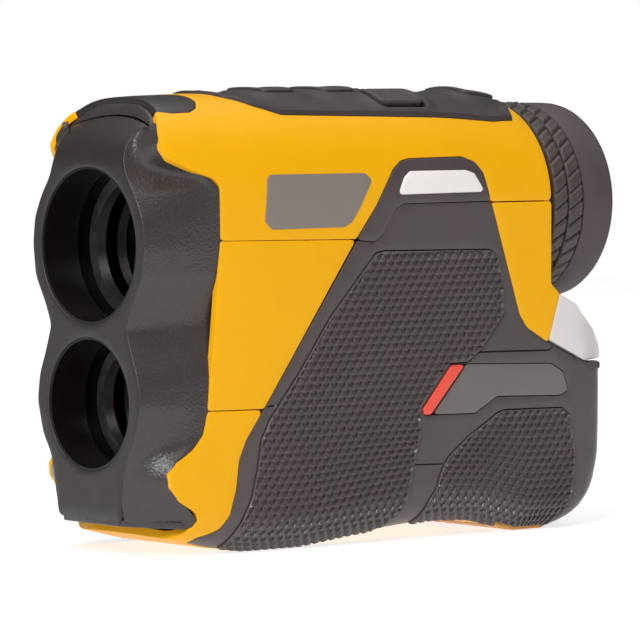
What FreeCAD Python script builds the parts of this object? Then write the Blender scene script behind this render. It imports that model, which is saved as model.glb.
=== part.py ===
import FreeCAD, Part
import os

import Sketcher

# Laser rangefinder, millimetres.  +Z is up, the objectives face -Y, the eyepiece looks out at +Y,
# X = 0 is the mirror plane and Z = 0 is the surface that the instrument stands on.

SIZES = {
    "half_width": 19.5,
    "front_face": -57.2,
    "body_length": 112.3,
    "body_height": 84.9,
    "top_round": 16.5,
    "bottom_round": 7.0,
    "inner_half_width": 17.3,
    "cavity_floor": 5.0,
    "cavity_top": 77.8,
    "upper_axis": 56.6,
    "lower_axis": 27.5,
    "eye_axis": 63.0,
    "upper_well": 14.0,
    "lower_well": 11.85,
    "pad_half_width": 19.9,
    "grip_floor": 18.3,
    "grip_thickness": 1.2,
    "label_floor": 18.9,
    "ring_radius": 19.4,
    "tube_radius": 15.0,
    "ring_bore": 15.08,
    "cell_bore": 12.0,
    "cell_radius": 11.92,
    "neck_radius": 15.9,
    "cup_radius": 19.2,
    "key_foot": 79.1,
    "mat_floor": 79.8,
    "battery_centre": 41.0,
    "battery_radius": 7.25,
    "socket_centre": -26.0,
    "socket_bore": 3.25,
    "socket_depth": 7.0,
    "screw_radius": 1.1,
}

# Side outlines as (Y, Z) points.
HOUSING = [
    (-57.2, 5.6), (-51.4, 3.6), (-41.0, 1.0), (-33.0, 0.0), (-20.0, 0.0), (-7.0, 1.4), (12.8, 3.0),
    (22.0, 2.6), (33.0, 0.0), (45.0, 0.0), (49.4, 3.0), (53.0, 8.4), (54.4, 14.0), (54.6, 32.0), (55.1, 35.1),
    (51.9, 38.7), (46.9, 42.7), (43.3, 44.8), (39.7, 46.0), (39.7, 82.3), (36.5, 83.7), (31.0, 84.6),
    (20.0, 84.9), (-30.0, 84.6), (-57.2, 83.0),
]
COVER_EDGE = [
    (-58.0, 5.2), (-46.8, 4.5), (-45.6, 6.4), (-50.4, 9.5), (-53.1, 13.6), (-50.2, 18.0),
    (-44.4, 23.7), (-41.4, 46.8), (-40.4, 68.1), (-42.0, 70.2), (-51.9, 72.5), (-55.6, 80.6), (-47.0, 81.0),
    (-42.4, 82.0), (-42.4, 90.0), (-58.0, 90.0),
]
UPPER_REGION = [
    (-60.0, 57.1), (-9.0, 57.1), (-4.8, 56.8), (0.9, 63.5), (60.0, 63.5), (60.0, 90.0), (-60.0, 90.0),
]
LOWER_REGION = [(-60.0, -2.0), (27.5, -2.0), (27.5, 26.3), (-60.0, 26.3)]
BATTERY_REGION = [
    (27.5, -2.0), (60.0, -2.0), (60.0, 32.0), (48.6, 32.0), (46.0, 33.0), (39.2, 36.2), (27.5, 36.2),
]
CAP_REGION = [
    (39.7, 36.6), (42.8, 43.1), (60.0, 43.1), (60.0, 32.3), (48.7, 32.3), (46.1, 33.3),
]
FOOT_STRIP = [(28.5, 1.1), (33.0, 0.0), (40.5, 0.0), (40.5, 0.8), (28.5, 1.9)]
CAP_ROOM = [
    (39.2, 36.2), (43.4, 44.9), (43.4, 50.0), (60.0, 50.0), (60.0, 32.0), (48.6, 32.0), (46.0, 33.0),
]
REAR_CAVITY = [
    (31.0, 5.0), (34.0, 2.4), (44.2, 2.4), (47.8, 4.8), (51.0, 9.6), (52.4, 14.5), (52.6, 37.5), (31.0, 37.5),
]
CAP_HOLLOW = [
    (41.0, 36.2), (44.8, 41.9), (46.2, 40.7), (50.8, 37.1), (53.2, 34.4), (53.2, 30.0), (41.0, 30.0),
]
GRIP_FRAME = [
    (-9.2, 57.1), (-2.4, 66.3), (0.1, 70.0), (2.3, 71.6), (4.3, 72.0), (17.8, 72.2), (20.8, 71.2),
    (22.6, 69.3), (24.4, 63.5), (31.6, 41.7), (33.5, 39.2), (38.7, 36.2), (46.0, 33.0), (48.6, 32.0),
    (54.6, 32.0), (54.4, 14.0), (53.0, 8.4), (49.4, 3.0), (45.0, 0.0), (-45.3, 0.0), (-45.3, 2.3),
    (-40.9, 4.8), (-39.0, 7.4), (-37.6, 11.9), (-36.9, 17.4), (-35.3, 21.0), (-31.3, 26.3),
]
GRIP_PAD = [
    (-4.5, 54.5), (-2.3, 54.8), (23.9, 54.4), (26.0, 53.0), (27.3, 46.7), (27.5, 42.4), (21.6, 35.6),
    (18.2, 33.3), (13.5, 33.2), (6.5, 25.0), (6.4, 20.0), (4.9, 14.6), (3.1, 7.0), (0.4, 3.8), (-2.3, 1.9),
    (-38.1, 2.8), (-37.2, 4.5), (-34.3, 9.9), (-32.9, 15.3), (-32.0, 20.8), (-30.1, 24.4),
    (-22.9, 33.0), (-15.7, 42.7),
]
REAR_PAD = [
    (12.1, 13.5), (13.9, 15.7), (18.9, 19.3), (25.8, 23.1), (27.8, 23.6), (42.6, 23.4), (44.7, 21.9),
    (45.8, 15.1), (45.5, 9.2), (44.2, 4.5), (42.2, 1.7), (38.5, 0.9), (7.6, 2.2), (8.9, 7.4), (10.4, 9.3),
]
NAME_PLATE = [
    (18.2, 32.8), (39.7, 32.1), (42.8, 30.5), (43.9, 27.8), (43.9, 26.6), (42.1, 25.9), (26.0, 26.4),
    (20.2, 23.4), (9.6, 23.6),
]
ACCENT_BAR = [(14.2, 32.8), (17.6, 32.8), (9.0, 23.6), (7.4, 23.6), (7.0, 24.8)]
BADGE = [(0.9, 65.3), (2.6, 68.6), (4.1, 69.7), (18.1, 69.7), (20.1, 69.1), (22.1, 66.2), (21.9, 65.5)]
SIDE_LABEL = [
    (-31.2, 60.9), (-30.5, 68.9), (-29.6, 69.5), (-7.0, 69.5), (-5.3, 68.2), (-10.4, 60.4), (-12.1, 59.5),
    (-29.6, 59.4),
]
# Screw places as (X, Y) points.
SCREW_SPOTS = [(x, y) for y in (-19.0, 22.0) for x in (-11.2, 11.2)]

ROOF_PRISM = [(-25.0, 50.0), (-8.0, 50.0), (-8.0, 62.0), (-25.0, 54.5)]
HALF_PRISM = [(-25.0, 55.5), (-9.5, 62.6), (-9.5, 67.0), (-25.0, 67.0)]

# Bezel sections as (X, Z) points of the +X half, from the top down.
BEZEL_FRONT = [
    (0.0, 83.2), (7.0, 82.2), (11.8, 77.5), (10.8, 72.6), (15.5, 65.0), (17.5, 56.6), (15.6, 48.5),
    (11.5, 42.0), (13.6, 36.0), (15.9, 27.5), (14.0, 19.8), (10.5, 15.5), (12.9, 6.4), (0.0, 5.6),
]
BEZEL_BACK = [
    (0.0, 84.2), (9.0, 83.0), (14.5, 79.4), (17.5, 75.0), (19.2, 66.0), (19.3, 57.0), (19.3, 49.0),
    (19.3, 42.0), (19.3, 36.0), (19.3, 27.5), (19.2, 20.0), (19.0, 12.0), (15.5, 4.0), (0.0, 2.4),
]
BEZEL_BACK_Y = -46.0

# Keys as (X centre, Y centre, X length, Y length, crown above the base surface).
KEYS = {
    "front_key": (0.0, -16.8, 12.0, 8.0, 85.2),
    "centre_key": (0.0, -2.1, 12.0, 8.2, 85.2),
    "left_key": (8.9, 8.4, 6.0, 11.2, 84.4),
    "right_key": (-8.9, 8.4, 6.0, 11.2, 84.4),
    "fire_key": (0.0, 32.8, 12.6, 8.3, 84.7),
}
KEY_CLEARANCE = 0.3

doc = FreeCAD.newDocument("rangefinder")
nodes = []


def make_sheet():
    sheet = doc.addObject("Spreadsheet::Sheet", "sizes")
    for row, (name, value) in enumerate(SIZES.items(), start=1):
        sheet.set("A%d" % row, name)
        sheet.set("B%d" % row, str(value))
        sheet.setAlias("B%d" % row, name)
    doc.recompute()
    return sheet


sizes = make_sheet()


def value(name):
    return float(sizes.get(name))


def keep(obj, label):
    """Name an object as a sub-part that is written to its own file."""
    obj.Label = label
    nodes.append(obj)
    return obj


def bind(obj, **expressions):
    for prop, text in expressions.items():
        obj.setExpression(prop.replace("__", "."), text)
    return obj


# ---------------------------------------------------------------- plain solids and booleans

def block(label, low, high):
    box = doc.addObject("Part::Box", label)
    box.Length, box.Width, box.Height = (high[i] - low[i] for i in range(3))
    box.Placement.Base = FreeCAD.Vector(*low)
    return box


def rod(label, centre, radius, length, direction=(0, 0, 1)):
    cylinder = doc.addObject("Part::Cylinder", label)
    cylinder.Radius = radius
    cylinder.Height = length
    turn = FreeCAD.Rotation(FreeCAD.Vector(0, 0, 1), FreeCAD.Vector(*direction))
    cylinder.Placement = FreeCAD.Placement(FreeCAD.Vector(*centre), turn)
    return cylinder


def fuse(label, *shapes):
    joined = doc.addObject("Part::MultiFuse", label)
    joined.Shapes = list(shapes)
    return joined


def cut(label, base, *tools):
    for number, tool in enumerate(tools):
        trimmed = doc.addObject("Part::Cut", "%s_cut_%d" % (label, number))
        trimmed.Base = base
        trimmed.Tool = tool
        base = trimmed
    return base


def common(label, first, second):
    shared = doc.addObject("Part::Common", label)
    shared.Base = first
    shared.Tool = second
    return shared


def side_prism(label, outline, start, length):
    """Extrude a (Y, Z) outline along +X from start; start and length are numbers or sheet formulas."""
    wire = doc.addObject("Part::Polygon", label + "_outline")
    wire.Nodes = [FreeCAD.Vector(0, y, z) for y, z in outline]
    wire.Close = True
    prism = doc.addObject("Part::Extrusion", label)
    prism.Base = wire
    prism.DirMode = "Custom"
    prism.Dir = FreeCAD.Vector(1, 0, 0)
    prism.Solid = True
    prism.LengthFwd = 1.0
    prism.setExpression("LengthFwd", str(length))
    prism.setExpression("Placement.Base.x", str(start))
    return prism


def across(label, outline, half_width="30"):
    return side_prism(label, outline, "-" + half_width, "2 * " + half_width)


def mirrored(label, source):
    twin = doc.addObject("Part::Mirroring", label)
    twin.Source = source
    twin.Base = FreeCAD.Vector(0, 0, 0)
    twin.Normal = FreeCAD.Vector(1, 0, 0)
    return twin


# ---------------------------------------------------------------- sketched bodies

def origin_plane(body, role):
    return next(feature for feature in body.Origin.OriginFeatures if feature.Role == role)


def sketch_on(body, role, name):
    sketch = body.newObject("Sketcher::SketchObject", name)
    sketch.AttachmentSupport = [(origin_plane(body, role), "")]
    sketch.MapMode = "FlatFace"
    return sketch


def closed_outline(sketch, points):
    """Draw a closed outline and hold every corner at its place from the sketch's origin."""
    corners = [FreeCAD.Vector(x, y, 0) for x, y in points]
    first = len(sketch.Geometry)
    count = len(corners)
    for i, corner in enumerate(corners):
        sketch.addGeometry(Part.LineSegment(corner, corners[(i + 1) % count]), False)
    for i, corner in enumerate(corners):
        line = first + i
        sketch.addConstraint(Sketcher.Constraint("Coincident", line, 2, first + (i + 1) % count, 1))
        if abs(corner.x) < 1e-9:
            sketch.addConstraint(Sketcher.Constraint("PointOnObject", line, 1, -2))
        else:
            sketch.addConstraint(Sketcher.Constraint("DistanceX", -1, 1, line, 1, corner.x))
        if abs(corner.y) < 1e-9:
            sketch.addConstraint(Sketcher.Constraint("PointOnObject", line, 1, -1))
        else:
            sketch.addConstraint(Sketcher.Constraint("DistanceY", -1, 1, line, 1, corner.y))


def turned(label, profile, height, side=0.0):
    """Revolve a (radius, Y) profile about a line parallel to Y at the sheet's named height."""
    body = doc.addObject("PartDesign::Body", label)
    sketch = sketch_on(body, "XY_Plane", label + "_profile")
    closed_outline(sketch, profile)
    spin = body.newObject("PartDesign::Revolution", label + "_turn")
    spin.Profile = sketch
    spin.ReferenceAxis = (sketch, ["V_Axis"])
    spin.Angle = 360.0
    body.Placement.Base.x = side
    body.setExpression("Placement.Base.z", "sizes." + height)
    return body


def tube_profile(inner, outer, start, end):
    return [(inner, start), (outer, start), (outer, end), (inner, end)]


def board(label, corners, thickness, role, offset):
    """A flat plate padded from an outline on one of the origin planes."""
    body = doc.addObject("PartDesign::Body", label)
    sketch = sketch_on(body, role, label + "_outline")
    closed_outline(sketch, corners)
    pad = body.newObject("PartDesign::Pad", label + "_pad")
    pad.Profile = sketch
    pad.Length = thickness
    body.Placement.Base = FreeCAD.Vector(*offset)
    return body


# ---------------------------------------------------------------- casing

def rounded_form(label, half_width, growth):
    """The instrument's cross-section as a long rounded box, growth mm larger than the casing."""
    box = doc.addObject("Part::Box", label + "_box")
    bind(
        box,
        Length="2 * sizes.%s" % half_width,
        Width="sizes.body_length + %g" % (2 * growth),
        Height="sizes.body_height + %g" % (2 * growth),
        Placement__Base__x="-sizes.%s" % half_width,
        Placement__Base__y="sizes.front_face - %g" % growth,
        Placement__Base__z="-%g" % growth,
    )
    return round_long_edges(label, box, value("top_round"), value("bottom_round"))


def eyepiece_room(label, radius, start, length):
    return bind(
        rod(label, (0, start, 0), radius, length, (0, 1, 0)), Placement__Base__z="sizes.eye_axis"
    )


def round_long_edges(label, box, top, bottom):
    """Fillet the four edges of a box that run along Y."""
    doc.recompute()
    rounded = doc.addObject("Part::Fillet", label)
    rounded.Base = box
    middle = box.Shape.BoundBox.Center.z
    edges = []
    for number, edge in enumerate(box.Shape.Edges, start=1):
        ends = [vertex.Point for vertex in edge.Vertexes]
        if abs(ends[0].y - ends[1].y) > 1.0:
            radius = top if ends[0].z > middle else bottom
            edges.append((number, radius, radius))
    rounded.Edges = edges
    return rounded


def make_cavity():
    """The hollow inside the casing: the optical bay, two barrel seats and the battery bay."""
    box = block("cavity_box", (-17.3, -45.5, 5.0), (17.3, 37.7, 77.8))
    bind(
        box,
        Length="2 * sizes.inner_half_width",
        Height="sizes.cavity_top - sizes.cavity_floor",
        Placement__Base__x="-sizes.inner_half_width",
        Placement__Base__z="sizes.cavity_floor",
    )
    front = round_long_edges("cavity_front", box, 14.3, 4.0)
    rear = across("cavity_rear", REAR_CAVITY, "16.5")
    seats = []
    for name, height, radius in (("upper", "upper_axis", 15.05), ("lower", "lower_axis", 12.85)):
        seat = rod(name + "_seat_cut", (0, -49.0, 0), radius, 6.0, (0, 1, 0))
        seats.append(bind(seat, Placement__Base__z="sizes." + height))
    return fuse("cavity", front, rear, *seats)


def side_pair(name, outline, clip, floor, thickness, holes=()):
    """One inlaid side piece for each flank, cut back to the form that bounds it."""
    slab = side_prism(name + "_slab", outline, floor, thickness)
    left = common(name + "_trimmed", slab, clip)
    left = cut(name, left, *holes)
    keep(left, "left_" + name)
    keep(mirrored("right_" + name + "_mirror", left), "right_" + name)
    return left


def make_casing():
    outer = common("outer_form", rounded_form("section_form", "half_width", 0.0),
                   across("profile", HOUSING))
    shell = cut("shell", outer, make_cavity())
    flank = common("flank_form", rounded_form("flank_section", "pad_half_width", 0.4),
                   across("flank_profile", HOUSING))

    pocket = side_prism("grip_pocket", GRIP_FRAME, "sizes.grip_floor", "5")
    pockets = fuse("grip_pockets", pocket, mirrored("grip_pocket_twin", pocket))
    label_pocket = side_prism("label_pocket", SIDE_LABEL, "sizes.label_floor", "5")
    label_pockets = fuse("label_pockets", label_pocket, mirrored("label_pocket_twin", label_pocket))
    core = block("cover_core", (-14.0, -58.0, 5.2), (14.0, -42.4, 90.0))
    cover_room = fuse("cover_room", across("cover_sides", COVER_EDGE), core)
    upper_room = across("upper_room", UPPER_REGION)
    lower_room = across("lower_room", LOWER_REGION)
    battery_room = across("battery_room", BATTERY_REGION)
    cap_room = across("cap_room", CAP_ROOM)
    ring_room = eyepiece_room("ring_room", 19.8, 39.7, 30.0)
    wall_bore = eyepiece_room("wall_bore", 13.6, 30.0, 20.0)
    mat_room = block("mat_room", (-30, -38.0, value("mat_floor")), (30, 43.0, 90))
    key_window = block("key_window", (-12.9, -22.5, 76.8), (12.9, 38.0, 81.0))

    make_bezel(cover_room)
    yellow = cut("yellow", shell, cover_room, pockets, label_pockets, wall_bore, ring_room)
    upper = cut("upper", common("upper_shell", yellow, upper_room), mat_room, key_window)
    keep(upper, "upper_housing")
    middle = cut("middle", yellow, upper_room, lower_room, battery_room, cap_room)
    bosses = [rod("nut_boss_%d" % i, (x, y, 26.3), 4.0, 8.0) for i, (x, y) in enumerate(SCREW_SPOTS)]
    pilots = [rod("nut_bore_%d" % i, (x, y, 26.3), value("screw_radius"), 6.0)
              for i, (x, y) in enumerate(SCREW_SPOTS)]
    ribs = [block("nut_rib_%d" % i, (min(x, 1.6 * x), y - 0.8, 26.3), (max(x, 1.6 * x), y + 0.8, 34.3))
            for i, (x, y) in enumerate(SCREW_SPOTS)]
    keep(cut("middle_bored", fuse("middle_bossed", middle, *bosses, *ribs), *pilots), "middle_housing")
    make_lower_housing(common("lower_shell", yellow, lower_room))
    make_battery_housing(common("battery_shell", cut("black", shell, pockets), battery_room))
    make_battery_cap(outer, ring_room)
    make_keypad_mat(outer, cover_room)
    make_flanks(outer, flank)


def make_lower_housing(shell):
    boss = bind(rod("socket_boss", (0, -26.0, 0.0), 7.0, 10.0), Placement__Base__y="sizes.socket_centre")
    seat = bind(rod("socket_seat", (0, -26.0, 0.0), 5.0, 8.0), Placement__Base__y="sizes.socket_centre")
    columns = [rod("boss_%d" % i, (x, y, 3.5), 4.0, 22.8) for i, (x, y) in enumerate(SCREW_SPOTS)]
    clear = [rod("screw_way_%d" % i, (x, y, -1.0), value("screw_radius"), 28.0)
             for i, (x, y) in enumerate(SCREW_SPOTS)]
    heads = [rod("head_way_%d" % i, (x, y, -1.0), 2.1, 17.0) for i, (x, y) in enumerate(SCREW_SPOTS)]
    body = fuse("lower_bossed", shell, boss, *columns)
    keep(cut("lower_bored", body, seat, *clear, *heads), "lower_housing")


def make_bezel(cover_room):
    """The moulded front cover: a two-lobed face that widens back to the casing's section."""
    wires = []
    for name, half, y in (("bezel_face", BEZEL_FRONT, -57.2), ("bezel_root", BEZEL_BACK, BEZEL_BACK_Y)):
        wire = doc.addObject("Part::Polygon", name)
        twin = [(-x, z) for x, z in reversed(half[1:-1])]
        wire.Nodes = [FreeCAD.Vector(x, y, z) for x, z in half + twin]
        wire.Close = True
        wires.append(wire)
    nose = doc.addObject("Part::Loft", "bezel_nose")
    nose.Sections = wires
    nose.Solid = True
    nose.Ruled = True
    skirt = common("bezel_skirt", doc.getObject("outer_form"),
                   block("skirt_room", (-30, BEZEL_BACK_Y, -1), (30, -40.0, 90)))
    cover = common("bezel_cover", fuse("bezel_form", nose, skirt), cover_room)
    wells = []
    for name in ("upper", "lower"):
        well = rod(name + "_well_cut", (0, -60, 0), 10, 20, (0, 1, 0))
        bind(well, Radius="sizes.%s_well" % name, Placement__Base__z="sizes.%s_axis" % name)
        wells.append(well)
    keep(cut("bezel", cover, doc.getObject("cavity"), *wells), "front_bezel")


def make_battery_housing(shell):
    strip = across("strip", FOOT_STRIP, "15")
    below = block("strip_room", (-15.0, 28.5, -1.0), (15.0, 40.5, 0.8))
    keep(cut("battery_shell", shell, strip, below), "battery_housing")
    keep(strip, "foot_strip")


def make_battery_cap(outer, ring_room):
    cap = common("cap_form", outer, across("cap_slice", CAP_REGION))
    hollow = across("cap_hollow", CAP_HOLLOW, "16.5")
    ridge = rod("cap_ridge", (-9.0, 47.6, 41.9), 0.9, 18.0, (1, 0, 0))
    keep(cut("cap", fuse("cap_ridged", cap, ridge), hollow, ring_room), "battery_cap")


def make_keypad_mat(outer, cover_room):
    slab = common("mat_form", outer, block("mat_slab", (-30, -38.0, value("mat_floor")), (30, 43.0, 90)))
    holes = []
    for name, (x, y, length, width, crown) in KEYS.items():
        dx = length / 2 + KEY_CLEARANCE
        dy = width / 2 + KEY_CLEARANCE
        holes.append(block(name + "_hole", (x - dx, y - dy, 70), (x + dx, y + dy, 90)))
    keep(cut("mat", slab, cover_room, *holes), "keypad_mat")


def make_flanks(outer, flank):
    openings = []
    for name, outline in (("pad", GRIP_PAD), ("rear", REAR_PAD), ("plate", NAME_PLATE),
                          ("accent", ACCENT_BAR), ("badge_seat", BADGE)):
        openings.append(side_prism(name + "_opening", outline, "sizes.grip_floor", "5"))
    depth = "sizes.grip_thickness"
    side_pair("grip_frame", GRIP_FRAME, outer, "sizes.grip_floor", depth, openings)
    side_pair("grip_pad", GRIP_PAD, flank, "sizes.grip_floor", "5")
    side_pair("rear_pad", REAR_PAD, flank, "sizes.grip_floor", "5")
    side_pair("name_plate", NAME_PLATE, outer, "sizes.grip_floor", "5")
    side_pair("accent_bar", ACCENT_BAR, flank, "sizes.grip_floor", "5")
    side_pair("badge", BADGE, flank, "sizes.grip_floor", "5")
    side_pair("side_label", SIDE_LABEL, outer, "sizes.label_floor", "5")


# ---------------------------------------------------------------- keypad

def rounded_key(name, x, y, length, width, crown):
    body = doc.addObject("PartDesign::Body", name)
    sketch = sketch_on(body, "XY_Plane", name + "_outline")
    dx = length / 2
    dy = width / 2
    closed_outline(sketch, [(-dx, -dy), (dx, -dy), (dx, dy), (-dx, dy)])
    pad = body.newObject("PartDesign::Pad", name + "_pad")
    pad.Profile = sketch
    pad.setExpression("Length", "%g - sizes.key_foot" % crown)
    doc.recompute()
    edges = []
    for number, edge in enumerate(pad.Shape.Edges, start=1):
        if edge.BoundBox.ZLength > 1.0:
            edges.append("Edge%d" % number)
    corner = body.newObject("PartDesign::Fillet", name + "_corners")
    corner.Base = (pad, edges)
    corner.Radius = 2.0
    doc.recompute()
    crown_edges = []
    for number, edge in enumerate(corner.Shape.Edges, start=1):
        box = edge.BoundBox
        if box.ZLength < 0.01 and box.ZMin > corner.Shape.BoundBox.ZMax - 0.01:
            crown_edges.append("Edge%d" % number)
    rim = body.newObject("PartDesign::Fillet", name + "_rim")
    rim.Base = (corner, crown_edges)
    rim.Radius = 0.6
    body.Tip = rim
    body.Placement.Base = FreeCAD.Vector(x, y, 0)
    body.setExpression("Placement.Base.z", "sizes.key_foot")
    return keep(body, name)


def make_keypad():
    for name, (x, y, length, width, crown) in KEYS.items():
        rounded_key(name, x, y, length, width, crown)
    keep(board("keypad_board", [(-12.6, -22.2), (12.6, -22.2), (12.6, 37.7), (-12.6, 37.7)], 1.0,
               "XY_Plane", (0, 0, 76.8)), "keypad_board")
    domes = [rod("dome_" + name, (x, y, 77.8), 2.4, 0.5) for name, (x, y, *rest) in KEYS.items()]
    group = doc.addObject("Part::Compound", "domes")
    group.Links = domes
    keep(group, "key_domes")


# ---------------------------------------------------------------- eyepiece

def make_eyepiece():
    bore = value("cell_bore")
    tube = value("tube_radius")
    eye_tube = [
        (bore, 24.0), (13.5, 24.0), (13.5, 39.8), (17.4, 39.8), (17.4, 40.8), (tube, 40.8), (tube, 50.4),
        (bore, 50.4),
    ]
    keep(turned("eyepiece_tube", eye_tube, "eye_axis"), "eyepiece_tube")
    slide = value("ring_bore")
    ring = value("ring_radius")
    neck = value("neck_radius")
    keep(turned("diopter_ring", tube_profile(slide, ring, 41.1, 44.4), "eye_axis"), "diopter_ring")
    sleeve = [
        (slide, 44.8), (ring, 44.8), (ring, 48.3), (neck, 48.3), (neck, 55.5), (slide, 55.5),
    ]
    keep(turned("eyecup_sleeve", sleeve, "eye_axis"), "eyecup_sleeve")
    lip = value("cup_radius")
    cup = [
        (neck + 0.1, 48.6), (lip, 48.6), (lip, 55.2), (lip - 0.5, 56.5), (lip - 1.5, 57.2),
        (lip - 2.9, 57.2), (neck + 0.1, 55.0),
    ]
    keep(turned("eyecup", cup, "eye_axis"), "eyecup")
    outside = value("cell_radius")
    cell = [
        (9.4, 30.0), (outside, 30.0), (outside, 50.0), (10.4, 50.0), (10.4, 44.7), (9.4, 44.7),
    ]
    keep(turned("lens_cell", cell, "eye_axis"), "lens_cell")
    keep(turned("eye_lens", lens_profile(10.35, 45.0, 48.0, 1.2), "eye_axis"), "eye_lens")
    keep(turned("field_lens", lens_profile(9.35, 32.0, 35.0, 0.9), "eye_axis"), "field_lens")


def lens_profile(radius, front, back, bulge):
    """Half section of a biconvex lens whose faces rise by bulge between the rim and the axis."""
    steps = 5
    rise = [(radius * i / steps, bulge * (1 - (i / steps) ** 2)) for i in range(steps + 1)]
    front_side = [(r, front - lift) for r, lift in rise]
    back_side = [(r, back + lift) for r, lift in reversed(rise)]
    return front_side + back_side


# ---------------------------------------------------------------- objectives and optics

def make_objective(name, height, outer, inner, seat):
    """A barrel, its lens and the slotted ring that holds the lens."""
    profile = [
        (seat, -33.0), (seat, -38.6), (inner, -38.6), (inner, -49.0), (outer, -49.0), (outer, -33.0),
    ]
    keep(turned(name + "_barrel", profile, height), name + "_barrel")
    keep(turned(name + "_lens", lens_profile(inner - 0.05, -42.6, -38.9, 1.2), height), name + "_lens")
    ring = turned(name + "_ring_blank", tube_profile(inner - 2.2, inner - 0.05, -46.4, -44.2), height)
    slot = bind(block(name + "_slot", (-1.0, -47.0, -20.0), (1.0, -45.6, 20.0)),
                Placement__Base__z="sizes.%s - 20" % height)
    keep(cut(name + "_ring", ring, slot), name + "_retaining_ring")


def make_optics():
    make_objective("objective", "upper_axis", 15.0, 13.9, 12.4)
    make_objective("receiver", "lower_axis", 12.8, 11.75, 10.4)

    plate = block("chassis_plate", (-16.8, -33.0, 13.0), (16.8, -30.5, 74.0))
    shelf = block("chassis_shelf", (-12.0, -30.5, 42.5), (12.0, 0.0, 44.0))
    windows = []
    for name, radius in (("upper", 11.5), ("lower", 9.0)):
        window = rod("chassis_" + name, (0, -40, 0), radius, 20, (0, 1, 0))
        windows.append(bind(window, Placement__Base__z="sizes.%s_axis" % name))
    fitted = common("chassis_plate_fitted", plate, doc.getObject("cavity_front"))
    keep(cut("chassis", fuse("chassis_form", fitted, shelf), *windows), "optical_chassis")

    shell = block("prism_shell", (-12.0, -28.0, 44.0), (12.0, -3.0, 72.0))
    room = block("prism_room", (-10.0, -26.0, 46.0), (10.0, -5.0, 70.0))
    entry = bind(rod("prism_entry", (0, -29, 0), 8.0, 10, (0, 1, 0)), Placement__Base__z="sizes.upper_axis")
    leave = bind(rod("prism_exit", (0, -10, 0), 6.5, 10, (0, 1, 0)), Placement__Base__z="sizes.eye_axis")
    keep(cut("prism_holder", shell, room, entry, leave), "prism_holder")
    keep(across("roof_prism", ROOF_PRISM, "8"), "roof_prism")
    keep(across("half_prism", HALF_PRISM, "8"), "half_prism")
    keep(block("display_panel", (-9.0, -3.0, 55.5), (9.0, -1.6, 70.5)), "display_panel")

    keep(turned("bandpass_filter", [(0.0, -30.5), (10.2, -30.5), (10.2, -29.4), (0.0, -29.4)], "lower_axis"),
         "bandpass_filter")
    plate = block("detector_plate", (-11.0, -14.0, 16.0), (11.0, -12.4, 40.0))
    can = bind(rod("detector_can", (0, -17.0, 0), 4.1, 3.0, (0, 1, 0)), Placement__Base__z="sizes.lower_axis")
    keep(fuse("detector", plate, can), "detector_board")
    tube = rod("laser_tube", (0, -20.0, 36.0), 3.0, 6.5)
    driver = block("laser_driver", (-6.0, -25.0, 34.6), (6.0, -15.5, 36.0))
    keep(fuse("laser", tube, driver), "laser_module")


def make_electronics():
    plate = block("main_plate", (-15.4, -27.0, 36.0), (-13.8, 22.0, 68.0))
    chips = [block("chip_%d" % i, (-13.8, -20.0 + 14.0 * i, 42.0), (-12.7, -12.0 + 14.0 * i, 50.0))
             for i in range(3)]
    keep(fuse("main", plate, *chips), "main_board")
    base = block("compass_plate", (-8.0, 2.0, 5.0), (8.0, 18.0, 6.4))
    chip = block("compass_chip", (-3.0, 6.0, 6.4), (3.0, 12.0, 8.4))
    keep(fuse("compass", base, chip), "compass_module")
    keep(block("flex_cable", (-7.0, -21.0, 72.0), (-6.6, -11.0, 76.8)), "flex_cable")


def make_battery():
    centre = value("battery_centre")
    radius = value("battery_radius")
    outer = rod("tube_outer", (0, centre, 7.6), radius + 1.3, 26.4)
    post = rod("tube_post", (0, centre, 2.4), 3.0, 5.4)
    inner = rod("tube_inner", (0, centre, 9.0), radius + 0.25, 40.0)
    keep(cut("tube", fuse("tube_form", outer, post), inner), "battery_tube")
    can = rod("battery_can", (0, centre, 10.2), radius, 24.2)
    nub = rod("battery_nub", (0, centre, 34.4), 2.0, 0.6)
    keep(fuse("battery", can, nub), "battery_cell")
    spring = doc.addObject("Part::Cone", "spring_cone")
    spring.Radius1 = 6.0
    spring.Radius2 = 3.5
    spring.Height = 1.2
    spring.Placement.Base = FreeCAD.Vector(0, centre, 9.0)
    bore = rod("spring_bore", (0, centre, 8.0), 2.9, 5.0)
    keep(cut("spring", spring, bore), "battery_spring")


def make_fasteners():
    socket = bind(rod("socket_body", (0, -26.0, 0.0), 5.0, 8.0), Placement__Base__y="sizes.socket_centre")
    bore = bind(rod("socket_hole", (0, -26.0, -1.0), 3.25, 8.0), Placement__Base__y="sizes.socket_centre",
                Radius="sizes.socket_bore", Height="sizes.socket_depth + 1")
    keep(cut("socket", socket, bore), "tripod_socket")
    screws = []
    for i, (x, y) in enumerate(SCREW_SPOTS):
        shank = rod("shank_%d" % i, (x, y, 16.0), value("screw_radius"), 16.2)
        head = rod("head_%d" % i, (x, y, 14.4), 2.0, 1.6)
        drive = rod("drive_%d" % i, (x, y, 14.0), 0.9, 1.2)
        screws.append(cut("screw_%d" % i, fuse("screw_form_%d" % i, shank, head), drive))
    group = doc.addObject("Part::Compound", "screws")
    group.Links = screws
    keep(group, "case_screws")


def write_parts():
    doc.recompute()
    for obj in doc.Objects:
        if "Invalid" in obj.State or "Error" in obj.State:
            raise RuntimeError("%s did not build: %s" % (obj.Label, obj.State))
    os.makedirs("parts", exist_ok=True)
    for obj in nodes:
        shape = obj.Shape
        if shape.isNull() or not shape.isValid():
            raise RuntimeError("%s has no valid shape" % obj.Label)
        print("%-26s solids %d  volume %9.1f" % (obj.Label, len(shape.Solids), shape.Volume))
        shape.exportStep("parts/%s.step" % obj.Label)


make_casing()
make_keypad()
make_eyepiece()
make_optics()
make_electronics()
make_battery()
make_fasteners()
write_parts()
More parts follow.
